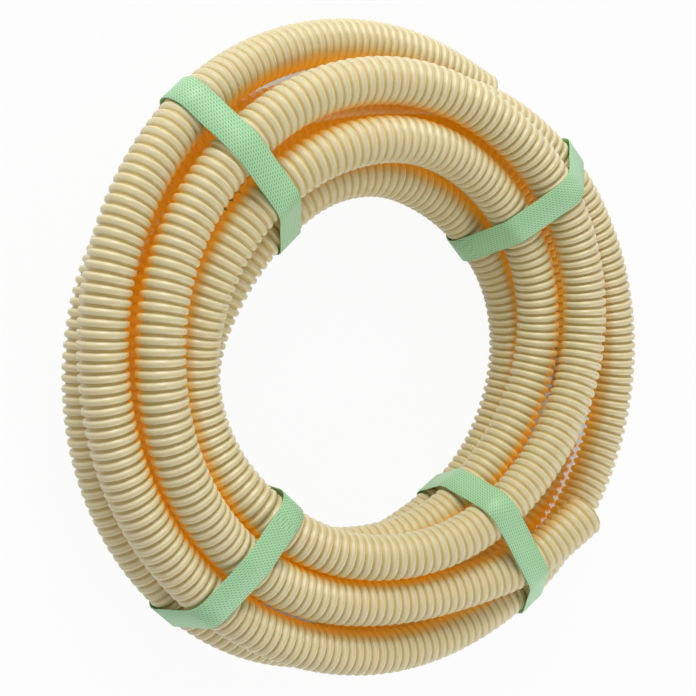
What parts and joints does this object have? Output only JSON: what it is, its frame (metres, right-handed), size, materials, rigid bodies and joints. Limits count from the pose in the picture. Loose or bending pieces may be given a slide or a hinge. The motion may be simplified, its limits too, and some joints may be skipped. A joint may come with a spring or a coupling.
{
  "type": "corrugated conduit coil",
  "caption": "Length of pliable corrugated conduit wound into an open coil and bound with flat plastic straps.",
  "frame": {"origin": "centre of the coil's bounding box at its underside", "axes": "+Z along the coil's axis, +Y towards the top of the coil as it is seen from the front"},
  "size_m": [0.3553, 0.3603, 0.0793],
  "materials": {
    "conduit": "satin",
    "strap": "embossed satin"
  },
  "bodies": {
    "root": {"conduit": "conduit", "strap_1": "strap", "strap_2": "strap", "strap_3": "strap", "strap_4": "strap"}
  },
  "joints": []
}
